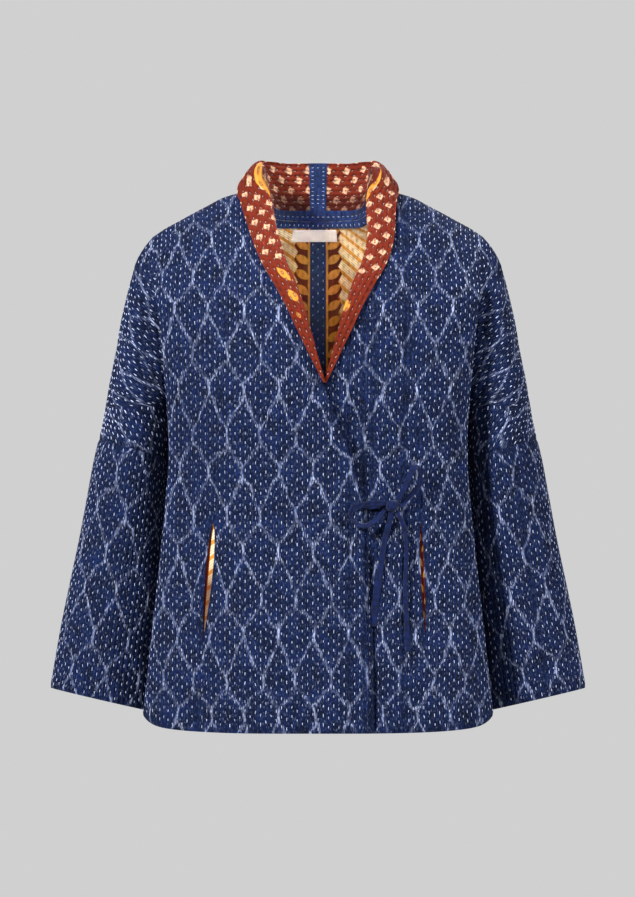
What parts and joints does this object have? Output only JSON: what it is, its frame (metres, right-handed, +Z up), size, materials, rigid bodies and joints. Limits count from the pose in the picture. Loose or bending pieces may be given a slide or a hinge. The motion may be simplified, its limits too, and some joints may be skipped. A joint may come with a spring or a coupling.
{
  "type": "kantha jacket",
  "caption": "quilted wrap jacket with dropped shoulders, wide sleeves, a collar turned out to its print and a bow of two ties, filled out as if worn",
  "frame": {"origin": "midway between the shoulders, in the plane of the shoulder seams, where the jacket is held", "axes": "+Z up, -Y the front, +X the wearer's left"},
  "size_m": [0.641, 0.2661, 0.6824],
  "materials": {
    "quilted_indigo": "matt quilted cotton, printed",
    "collar_print": "matt quilted cotton, the printed reverse",
    "blue_binding": "matt cotton tape",
    "label_cloth": "matt woven tape, blank",
    "pocket_print": "matt printed cotton",
    "tie_cloth": "matt plain cotton"
  },
  "bodies": {
    "root": {"front_right": "quilted_indigo", "front_left": "quilted_indigo", "back_right": "quilted_indigo", "back_left": "quilted_indigo", "sleeve_right": "quilted_indigo", "sleeve_left": "quilted_indigo", "collar_right": "collar_print", "collar_left": "collar_print", "collar_strip": "blue_binding", "neck_binding": "blue_binding", "neck_facing": "blue_binding", "back_seam_binding": "blue_binding", "label": "label_cloth", "pocket_right": "pocket_print", "pocket_left": "pocket_print", "tie_stub": "tie_cloth", "tie_knot": "tie_cloth", "tie_loop_left": "tie_cloth", "tie_loop_right": "tie_cloth", "tie_tail_left": "tie_cloth", "tie_tail_right": "tie_cloth"}
  },
  "joints": []
}
